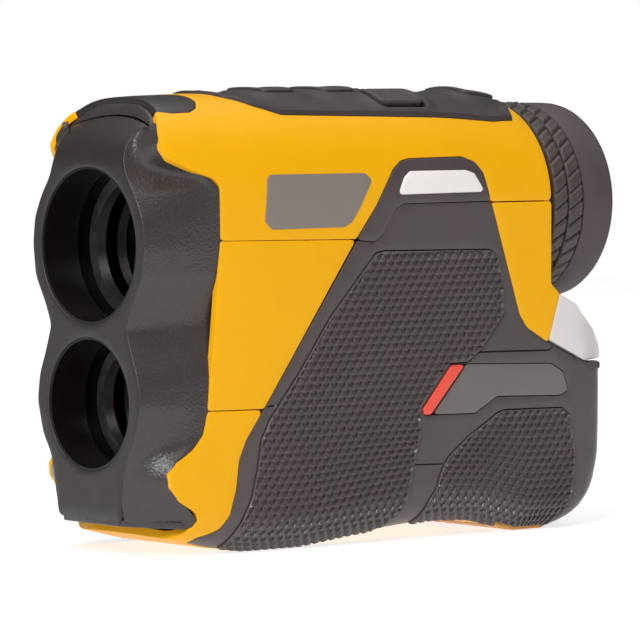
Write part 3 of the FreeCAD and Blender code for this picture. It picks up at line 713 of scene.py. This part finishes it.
GRIP_PAD = [
    (-4.5, 54.4), (-2.3, 54.8), (23.9, 54.4), (26.0, 53.0), (27.3, 46.7), (27.5, 42.4), (21.6, 35.6),
    (18.2, 33.3), (13.5, 33.2), (6.5, 25.0), (6.4, 20.0), (4.9, 14.6), (3.1, 7.0), (0.4, 3.8),
    (-2.3, 0.4), (-38.6, 0.4), (-38.0, 2.8), (-37.2, 4.5), (-34.3, 9.9), (-32.9, 15.3), (-32.0, 20.8),
    (-30.1, 24.4), (-22.9, 33.0), (-15.7, 42.7),
]
REAR_PAD = [
    (12.1, 13.5), (13.9, 15.7), (18.9, 19.3), (25.8, 23.1), (27.8, 23.6), (42.6, 23.4), (44.7, 21.9),
    (45.8, 15.1), (45.5, 9.2), (44.2, 4.5), (42.2, 0.9), (7.3, 2.4), (8.9, 7.4), (10.4, 9.3),
]
NAME_PLATE = [
    (18.2, 32.8), (39.7, 32.1), (42.8, 30.5), (43.9, 27.8), (43.9, 26.6), (42.1, 25.9), (26.0, 26.4),
    (20.2, 23.4), (9.6, 23.6),
]
ACCENT_BAR = [(14.2, 32.8), (17.6, 32.8), (9.0, 23.6), (7.4, 23.6), (7.0, 24.8)]
BADGE = [(0.9, 65.3), (2.6, 68.6), (4.1, 69.7), (18.1, 69.7), (20.1, 69.1), (22.1, 66.2), (21.9, 65.5)]
SIDE_LABEL = [
    (-31.2, 60.9), (-30.5, 68.9), (-29.6, 69.5), (-7.0, 69.5), (-5.3, 68.2), (-10.4, 60.4), (-12.1, 59.5),
    (-29.6, 59.4),
]


def pad_outline(points):
    """A pad's outline, with its lowest points carried round the bottom edge."""
    found = []
    for (y, z), pair in zip(points, on_flank(points)):
        found.append((pair[0], PAD_FLOOR) if z < 1.2 or (y > 5 and z < 2.5) else pair)
    return soften(found, 0.8, 0.5)


def make_grip_frame():
    seam = [(-4.7, 56.5), (-2.7, 57.8), (0.4, 62.5), (2.3, 63.5)]
    panel = FRAME_TOP[1:8] + [(24.3, 63.75)] + shifted(seam[::-1], 0, SEAM) + [(-9.0, 57.05)]
    top = flank_plate(panel, 0.5, edge=FRAME_EDGE, pitch=1.6)
    upper = [(-8.9, 56.9)] + seam + [(24.3, 63.6)] + FRAME_REAR[1:]
    upper += [(46.0, 33.0), (48.6, 32.1), (50.0, 32.0)]
    outline = on_flank(upper) + [(57.8, 32.0), (57.8, -1.5), (51.4, SKIRT), (-44.9, SKIRT)]
    outline += on_flank(FRAME_FRONT[:0:-1])
    plate_hole = soften(on_flank(NAME_PLATE + ACCENT_BAR[2:] + ACCENT_BAR[:1]), 0.4, 0.5)
    holes = [grown(pad_outline(pad), 0.16) for pad in (GRIP_PAD, REAR_PAD)] + [grown(plate_hole, SEAM)]
    body = patch(casing, soften(outline, 0.6, 0.6), edge=FRAME_EDGE, pitch=1.5, holes=holes,
                 grooves=[on_flank(line) for line in FRAME_SEAMS])
    side_pieces("grip_frame", merged(top, body), "satin")


SCALE_PITCH = 1.98
SCALE_ROW = 1.39
# One scale of the grip: (share of the pitch, share of the row, height) of its apex and base, the foot of its
# three edges and the pit beside it.
SCALE = [
    (0.00, 0.48, 0.30), (-0.17, 0.04, 0.52), (0.15, 0.04, 0.48), (-0.34, -0.40, 0.78), (-0.02, -0.42, 0.80),
    (0.26, -0.40, 0.74), (-0.36, -0.54, 0.02), (-0.02, -0.56, 0.02), (0.30, -0.52, 0.02), (-0.27, 0.06, 0.12),
    (0.22, 0.06, 0.04), (0.40, -0.30, 0.12), (0.48, 0.20, 0.00),
]


def scale_points(loop):
    """The grip's staggered scales inside a loop's bounds, as points with their heights."""
    low, high = loop.min(0), loop.max(0)
    points = []
    for j in range(int((high[1] - low[1]) / SCALE_ROW) + 2):
        for i in range(int((high[0] - low[0]) / SCALE_PITCH) + 2):
            y = low[0] + (i + 0.5 * (j % 2)) * SCALE_PITCH
            z = low[1] + j * SCALE_ROW
            points += [(y + across * SCALE_PITCH, z + up * SCALE_ROW, rise) for across, up, rise in SCALE]
    return np.array(points)


def grip_solid(loop):
    """A pad whose face is covered with scales."""
    points = scale_points(loop)
    rise = {tuple(np.round(point[:2], 3)): point[2] for point in points}

    def relief(flat, gap):
        found = np.array([rise.get(tuple(np.round(point, 3)), -1.0) for point in flat])
        return np.where(found < 0, 0.05, found - 0.45)

    return patch(casing, loop, proud=0.3, depth=0.8, edge=0.18, relief=relief, extra=points[:, :2])


def make_pads():
    for name, outline in (("grip_pad", GRIP_PAD), ("rear_pad", REAR_PAD)):
        side_pieces(name, grip_solid(pad_outline(outline)), "pad", sharp=12.0)


def make_inlays():
    """The flat plates let into the flanks."""
    # Piece, outline, finish, slot, corner radius, then the point spacing, height, depth, edge and pitch.
    inlays = (
        ("name_plate", NAME_PLATE, "plate", "grey_plate", 0.7, 0.4, 0.05, 0.9, 0.22, 1.6),
        ("accent_bar", ACCENT_BAR, "red", "red_accent", 0.4, 0.3, 0.35, 0.9, 0.4, 1.0),
        ("badge", BADGE, "badge", "silver_plastic", 0.7, 0.35, 0.32, 0.5, 0.3, 1.2),
        ("side_label", SIDE_LABEL, "label", "grey_plate", 0.6, 0.4, 0.1, 0.5, 0.12, 1.4),
    )
    for name, outline, finish, slot, radius, step, proud, depth, edge, pitch in inlays:
        plate = flank_plate(outline, radius, step, proud=proud, depth=depth, edge=edge, pitch=pitch)
        side_pieces(name, plate, finish)


def make_battery_housing():
    half_width = HALF - WRAP_RADIUS - (REAR_SEAM - WRAP_START - WRAP_RADIUS * QUARTER)

    def rear_face(across, lane):
        corner = casing(np.full(len(lane), REAR_SEAM), lane)
        corner[:, 0] *= 1 - across / half_width
        return corner

    wall = [(0.0, 31.9), (0.0, -1.6), (2 * half_width, -1.6), (2 * half_width, 31.9)]
    rear = patch(rear_face, soften(wall, 0.4, 0.7), edge=SKIN_EDGE, pitch=1.8)
    under = [(27.55, LANE_BASE), (27.55, SKIRT - 0.1), (50.5, SKIRT - 0.1), (50.5, LANE_BASE)]
    sole = patch(casing, soften(both_sides(under, LANE_BASE), 0.3, 0.7), edge=SKIN_EDGE, pitch=2.0)
    lid = rounded_bar(soften([(38.9, 36.1), (46.0, 32.9), (48.6, 31.95), (53.3, 31.95), (53.3, 30.6),
                              (46.0, 30.4), (38.9, 33.5)], 0.35, 0.4), HALF - 0.7, 0.25)
    add_piece("battery_housing_skin", merged(rear, sole, lid), "shell", "battery_housing")


def make_foot_strip():
    bar = rounded_bar(soften([(28.5, 1.0), (33.0, 0.0), (40.5, 0.0), (40.5, 2.0), (28.5, 2.6)], 0.45, 0.3),
                      16.2, 0.35)
    add_piece("foot_strip_skin", bar, "orange", "foot_strip")


def make_battery_cap():
    outline = soften([(39.25, 36.7), (42.0, 45.6), (46.7, 43.2), (48.0, 41.4), (52.5, 38.1), (54.15, 35.1),
                      (54.4, 32.5), (48.7, 32.3), (46.0, 33.6)], 0.7, 0.3)
    points, faces = rounded_bar(outline, HALF, 0.35)
    carve_for_rings(points, points[:, 2] > 36.0)
    side = np.abs(points[:, 0]) / HALF
    rear = ramp(points[:, 1], 47.5, 54.0)
    points[:, 0] *= 1 - 0.10 * rear * ramp(side, 0.5, 1.0)
    add_piece("battery_cap_skin", (points, faces), "silver", "battery_cap", "battery_cap")


# ---------------------------------------------------------------- bezel

# Rows from the foot to the crown: front ridge (X, Y, Z), edge against the casing (Y, Z), how far that edge
# lies below the casing, and how late the flank swells.
BEZEL_ROWS = np.array([
    (9.0, -55.8, 5.8, -46.6, 5.2, 0.3, 0.7),
    (9.5, -56.8, 8.0, -46.2, 6.8, 0.3, 0.8),
    (10.0, -57.2, 11.0, -50.6, 10.4, 0.4, 1.0),
    (10.5, -57.2, 14.6, -52.8, 14.0, 0.5, 1.0),
    (11.6, -57.2, 18.0, -50.9, 17.6, 0.6, 1.1),
    (14.0, -57.2, 21.4, -46.0, 20.8, 0.5, 1.2),
    (15.7, -57.2, 27.5, -44.0, 27.5, 0.3, 1.0),
    (15.0, -57.2, 32.4, -43.3, 32.5, 0.5, 1.0),
    (13.2, -57.2, 36.6, -42.9, 37.0, 1.6, 1.1),
    (11.4, -57.2, 41.6, -42.4, 43.0, 2.6, 1.2),
    (13.2, -57.2, 45.6, -42.0, 47.0, 1.8, 1.1),
    (16.2, -57.2, 50.6, -41.6, 51.0, 0.6, 1.0),
    (17.0, -57.2, 56.6, -41.2, 56.6, 0.3, 1.0),
    (16.4, -57.2, 61.6, -41.1, 62.0, 0.3, 1.0),
    (14.2, -57.2, 65.9, -41.3, 66.8, 0.4, 1.1),
    (11.8, -57.1, 69.2, -44.6, 69.8, 0.8, 2.0),
    (10.7, -56.8, 72.4, -51.2, 72.2, 0.9, 2.4),
    (10.3, -55.6, 75.4, -53.0, 75.0, 0.6, 2.2),
    (10.6, -54.0, 77.4, -52.5, 77.8, 0.4, 1.7),
    (12.2, -52.5, 78.5, -51.5, 79.6, 0.3, 1.2),
], float)
FLANK_RUN = 14.0


def row_table():
    """The bezel rows at even spacing along the front ridge, smoothed."""
    ridge = BEZEL_ROWS[:, [0, 1, 2]]
    run = np.concatenate([[0.0], np.cumsum(np.linalg.norm(np.diff(ridge, axis=0), axis=1))])
    fine = np.arange(0.0, run[-1], 0.25)
    weights = np.hanning(19)
    columns = []
    for k in range(BEZEL_ROWS.shape[1]):
        raw = np.interp(fine, run, BEZEL_ROWS[:, k])
        padded = np.pad(raw, 9, "reflect", reflect_type="odd")
        columns.append(np.convolve(padded, weights / weights.sum(), "valid"))
    back = casing(*np.array(on_flank(zip(columns[3], columns[4]))).T)
    columns[3:5] = [back[:, 0] - columns[5], back[:, 1], back[:, 2]]
    return fine, np.array(columns)


ROW_RUN, ROWS = row_table()


def bezel_flank(across, row):
    """A point of the bezel's flank: across runs back from the ridge, row runs up along it."""
    value = [np.interp(row, ROW_RUN, column) for column in ROWS]
    share = across / FLANK_RUN
    swell = np.clip(share, 0.0, 1.0) ** value[7]
    x = value[0] + (value[3] - value[0]) * swell
    y = value[1] + (value[4] - value[1]) * share
    z = value[2] + (value[5] - value[2]) * share
    return np.stack([x, y, z], axis=1)


def hood_front(x):
    """The line over the top of the bezel where its face ends, as Y and Z at X."""
    share = (x / 16.5) ** 2
    return -50.4 - 3.1 * share, 80.4 - 3.8 * share


def hood_rear(x):
    """The line where the top cover begins, as Y and Z at X."""
    share = np.abs(x / 11.9)
    return -49.2 - 1.3 * share ** 2, 82.6 - 3.3 * share ** 3


def bezel_face(x, z):
    """The front plate, which leans back towards the hood at its top."""
    hood_y, hood_z = hood_front(np.clip(x, -16, 16))
    lean = np.clip((z - 70.5) / (hood_z - 70.5), 0.0, 1.1)
    heel = np.maximum(7.6 - z, 0.0) / 2.0
    y = FRONT + (hood_y - FRONT) * lean ** 2.5 + 1.1 * heel ** 2
    return np.stack([x, y, z], axis=1)


def hood(across, along):
    """The grained band between the face and the top cover; across is X, along runs back."""
    front_y, front_z = hood_front(across)
    rear_y, rear_z = hood_rear(across)
    share = along / 3.0
    y = front_y + (rear_y - front_y) * share
    z = front_z + (rear_z - front_z) * np.sin(np.clip(share, -0.2, 1.2) * QUARTER)
    return np.stack([across, y, z], axis=1)


def underside(x, along):
    """The bottom of the bezel's foot, seen from below."""
    return np.stack([-x, -56.8 + along, 5.5 - 0.05 * along], axis=1)


def make_bezel_face():
    """The front plate and the two wells behind its openings."""
    ridge = [(ROWS[0][i], ROWS[2][i]) for i in range(0, ROWS.shape[1], 3)]
    crest = [(x, hood_front(np.array(x))[1]) for x in (11.6, 10.0, 7.5, 5.0, 2.5)]
    half = [(0.0, 5.6), (4.0, 5.65), (7.6, 5.9)] + ridge[1:] + crest
    outline = soften(half + [(0.0, hood_front(0.0)[1])] + [(-x, z) for x, z in half[:0:-1]], 0.5, 0.5)
    wells = [circle(0, UPPER_Z, UPPER_WELL + 0.42, 128), circle(0, LOWER_Z, LOWER_WELL + 0.42, 112)]
    face = patch(bezel_face, outline, depth=1.6, edge=0.3, pitch=1.2, holes=wells)
    tubes = []
    lip, step, floor = FRONT + 0.35, FRONT + 1.65, -49.02
    for z, radius in ((UPPER_Z, UPPER_WELL), (LOWER_Z, LOWER_WELL)):
        profile = [(radius, lip), (radius + 0.4, lip), (radius + 0.4, step), (radius + 0.9, step),
                   (radius + 0.9, floor), (radius, floor)]
        tubes.append(turned(profile, z, 160))
    # The wells' near-black finish includes painted shade of the recess behind each opening.
    add_piece("bezel_wells", merged(*tubes), "well", "front_bezel")
    add_piece("bezel_face", face, "face", "front_bezel")


def make_bezel_flanks():
    """Both flanks, the band over the top and the foot's underside, all in the grained plastic."""
    top = ROW_RUN[-1]
    reach = FLANK_RUN * 1.06
    edges = soften([(0.04, 0.1), (reach, 0.1), (reach, top), (0.04, top)], 0.3, 0.5)
    side = patch(bezel_flank, edges, depth=1.2, edge=0.16, pitch=0.8)
    band = patch(hood, soften([(-12.2, 0.1), (12.2, 0.1), (11.8, 3.0), (-11.8, 3.0)], 0.3, 0.5),
                 depth=1.2, edge=0.2, pitch=0.8)
    half = [(0.0, 0.0), (8.4, 0.2), (9.4, 1.0), (13.2, 4.0), (16.6, 8.0), (16.6, 10.5), (0.0, 10.5)]
    sole = patch(underside, soften(half + [(-x, along) for x, along in half[-2:0:-1]], 0.5, 0.6),
                 depth=1.2, edge=0.3, pitch=1.6)
    add_piece("bezel_flanks", merged(side, reflected(side), band, sole), "leather",
              "front_bezel")


def make_top_cover():
    rear = on_crown(TONGUE)
    front = on_crown([(x, float(hood_rear(x)[0]) + 0.1) for x in (0.0, 4.0, 8.0, 11.4)])
    tongue = patch(casing, soften(both_sides(front + rear, LANE_TOP), 0.6, 0.5), proud=-0.05, edge=0.25,
                   pitch=1.4)
    add_piece("bezel_top_cover", tongue, "face", "front_bezel")


# ---------------------------------------------------------------- keypad

# Each key with the gap round it; the side keys sit on a slope, so they need more room to move.
KEYS = {"front_key": 0.25, "centre_key": 0.25, "left_key": 0.5, "right_key": 0.5, "fire_key": 0.25}


def key_outline(name, grow=0.0):
    low, high = limits(name)
    x0, x1, y0, y1 = low[0] - grow, high[0] + grow, low[1] - grow, high[1] + grow
    corners = on_crown([(x0, y0), (x1, y0), (x1, y1), (x0, y1)])
    return soften(corners, 2.0, 0.35)


def make_keypad():
    outline = soften(both_sides(on_crown(KEYPAD), LANE_TOP), 1.2, 0.5)
    holes = [key_outline(name, gap) for name, gap in KEYS.items()]

    def relief(flat, gap):
        lip = 0.35 * np.exp(-((gap - 0.8) / 0.5) ** 2)
        return lip - 0.15 - 0.5 * ramp(gap, 1.0, 3.5)

    mat = patch(casing, grown(outline, -0.1), proud=0.45, edge=0.55, pitch=0.9, holes=holes, relief=relief)
    add_piece("keypad_mat_skin", mat, "mat", "keypad_mat")
    for name in KEYS:
        make_key(name)


def make_key(name):
    """A key cap with a shallow dish in its top."""

    def relief(flat, gap):
        return -0.22 * ramp(gap, 0.6, 2.6)

    solid = patch(casing, key_outline(name), proud=1.05, depth=2.5, edge=0.4, pitch=0.7, relief=relief)
    add_piece(name + "_cap", solid, "key", name, name)


# ---------------------------------------------------------------- eyepiece

BORE = 15.08
NECK = 15.9
NECK_END = 55.5
KNURLS = 38
KNURL_DEPTH = 0.5
KNURL_SLANT = 0.2
RING_STEPS = 400


def knurled(low, high):
    """The slanted grooves of a ring between two stations, cut only into its outer side."""

    def grooves(angle, y, radius):
        turn = angle * KNURLS / (2 * math.pi) + (y - low) * KNURL_SLANT
        near = np.abs((turn + 0.5) % 1.0 - 0.5)
        cut = KNURL_DEPTH * (np.exp(-(near / 0.09) ** 2) + 0.35 * np.abs(2 * near - 0.5))
        return cut * (radius > 18.0) * (y < high + 0.01)

    return grooves


def ring_profile(inner, outer, low, high, edge=0.5):
    """Closed (radius, Y) profile of a ring whose outer edges are rounded."""
    corners = [(outer - edge + edge * math.sin(angle), low + edge * (1 - math.cos(angle)))
               for angle in np.linspace(0, QUARTER, 5)]
    middle = [(outer, y) for y in np.linspace(low + edge, high - edge, 14)[1:-1]]
    upper = [(r, low + high - y) for r, y in reversed(corners)]
    return [(inner, low)] + corners + middle + upper + [(inner, high)]


def make_eyepiece():
    low, high = limits("diopter_ring")
    radius = high[0]
    ring = turned(ring_profile(BORE, radius, low[1], high[1]), EYE_Z, RING_STEPS, knurled(low[1], high[1]))
    add_piece("diopter_ring_grip", ring, "ring", "diopter_ring", "diopter_ring")
    start, tip = limits("eyecup_sleeve")[0][1], limits("eyecup")[1][1]
    base = limits("eyecup")[0][1]
    end = base - 0.3
    profile = ring_profile(BORE, radius, start, end, 0.45)[:-1]
    profile += [(NECK, end), (NECK, NECK_END), (BORE, NECK_END)]
    sleeve = turned(profile, EYE_Z, RING_STEPS, knurled(start, end))
    add_piece("eyecup_sleeve_grip", sleeve, "ring", "eyecup_sleeve", "eyecup_sleeve")
    outer = limits("eyecup")[1][0]
    profile = [(NECK + 0.1, base), (outer - 0.7, base), (outer - 0.2, base + 0.2), (outer - 0.1, base + 0.7),
               (outer, base + 2.5), (outer, base + 5.0), (outer - 0.1, tip - 2.2)]
    for angle in np.linspace(0.1, QUARTER, 6):
        profile.append((outer - 1.9 + 1.8 * math.cos(angle), tip - 1.8 + 1.8 * math.sin(angle)))
    profile += [(outer - 2.6, tip - 0.05), (outer - 2.95, tip - 0.3), (NECK + 0.2, tip - 1.2),
                (NECK + 0.1, tip - 2.4)]
    add_piece("eyecup_moulding", turned(profile, EYE_Z, 192), "cup", "eyecup", "eyecup")


# ---------------------------------------------------------------- finishes of the carried-over nodes

def finish_nodes():
    """Give the CAD meshes that are shown as they are their own materials."""
    aluminium = metal("bare_aluminium", tone(190, 192, 196), 0.35, (1, 12, 1))
    black_metal = metal("black_anodised", tone(24, 22, 22), 0.5, (1, 10, 1))
    ring_metal = metal("ring_anodised", tone(150, 142, 142), 0.45, (1, 10, 1))
    brass = metal("brass", tone(196, 158, 92), 0.3, (1, 1, 8))
    steel = metal("screw_steel", tone(170, 170, 172), 0.3, (1, 1, 8))
    coated = glass("coated_glass", tone(60, 40, 70))
    amber = glass("amber_glass", tone(190, 120, 40))
    clear = glass("clear_glass", tone(235, 240, 245))
    filter_glass = glass("filter_glass", tone(150, 20, 60), 0.05, 0.4)
    board = moulded("circuit_board", tone(26, 74, 50), 0.4, 2600, 0.01, 0.75)
    film = moulded("flex_film", tone(176, 112, 40), 0.4, 1800, 0.006)
    wrap = moulded("battery_wrap", tone(60, 62, 66), 0.35, 1500, 0.004)
    chosen = {
        aluminium: ["prism_holder"],
        black_metal: ["objective_barrel", "receiver_barrel", "optical_chassis", "lens_cell", "eyepiece_tube"],
        ring_metal: ["objective_retaining_ring", "receiver_retaining_ring"],
        brass: ["tripod_socket"],
        steel: ["case_screws", "key_domes", "battery_spring"],
        coated: ["objective_lens"],
        amber: ["receiver_lens"],
        clear: ["eye_lens", "field_lens", "roof_prism", "half_prism", "display_panel"],
        filter_glass: ["bandpass_filter"],
        board: ["keypad_board", "main_board", "detector_board", "compass_module", "laser_module"],
        film: ["flex_cable"],
        wrap: ["battery_cell"],
        paints["shell"]: ["battery_tube"],
    }
    for paint, names in chosen.items():
        for name in names:
            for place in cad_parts[name].material_slots:
                place.material = paint.material


# ---------------------------------------------------------------- studio

def aim(thing, target):
    direction = Vector(target) - thing.location
    thing.rotation_euler = direction.to_track_quat("-Z", "Y").to_euler()


def make_camera():
    """A long lens, well back from the object, in metres."""
    target = Vector((0.0, -0.002, 0.0411))
    towards = Vector((0.7695, -0.6365, 0.0523))
    distance = 0.9331
    camera = bpy.data.cameras.new("camera")
    camera.sensor_width = 36.0
    camera.lens = 275.6
    camera.clip_end = 20.0
    thing = placed("camera", camera)
    thing.location = target + distance * towards
    aim(thing, target)
    bpy.context.scene.camera = thing


def add_light(name, place, size, power, target):
    """A square area lamp with sides of the given size, in metres."""
    lamp = bpy.data.lights.new(name, "AREA")
    lamp.size = size
    lamp.energy = power
    thing = placed(name, lamp)
    thing.location = place
    aim(thing, target)


def make_floor():
    """A plain pale floor that glows a little, so that it stays white round the object."""
    floor = bpy.data.meshes.new("floor")
    corners = [(-0.8, -0.8, 0), (0.8, -0.8, 0), (0.8, 0.8, 0), (-0.8, 0.8, 0)]
    floor.from_pydata(corners, [], [(0, 1, 2, 3)])
    paint = Paint("floor_paper", (0.4, 0.4, 0.4), 0.8, specular=0.0)
    paint.bump(paint.noise(800, 3), 0.02)
    settle(paint.shader, Emission_Color=(1, 1, 1, 1), Emission_Strength=0.75)
    floor.materials.append(paint.material)
    placed("floor", floor)


def make_studio():
    """A white backdrop that lights the object only faintly, and two lamps."""
    world = bpy.data.worlds.new("studio")
    world.use_nodes = True
    tree = world.node_tree
    background = tree.nodes["Background"]
    settle(background, Color=(1, 1, 1, 1))
    ray = tree.nodes.new("ShaderNodeLightPath")
    level = tree.nodes.new("ShaderNodeMapRange")
    settle(level, To_Min=0.1, To_Max=1.0)
    tree.links.new(ray.outputs["Is Camera Ray"], level.inputs["Value"])
    tree.links.new(level.outputs["Result"], background.inputs["Strength"])
    bpy.context.scene.world = world
    add_light("overhead_light", (0.0, 0.0, 1.4), 2.0, 20, (0.0, 0.0, 0.0))
    add_light("key_light", (0.6, -1.0, 0.8), 0.5, 11.5, (0.0, 0.0, 0.04))
    bpy.context.scene.view_settings.view_transform = "Standard"


make_camera()
make_floor()
make_studio()
make_upper_housing()
make_middle_housing()
make_lower_housing()
make_battery_housing()
make_foot_strip()
make_battery_cap()
make_grip_frame()
make_pads()
make_inlays()
make_bezel_face()
make_bezel_flanks()
make_top_cover()
make_keypad()
make_eyepiece()
finish_nodes()
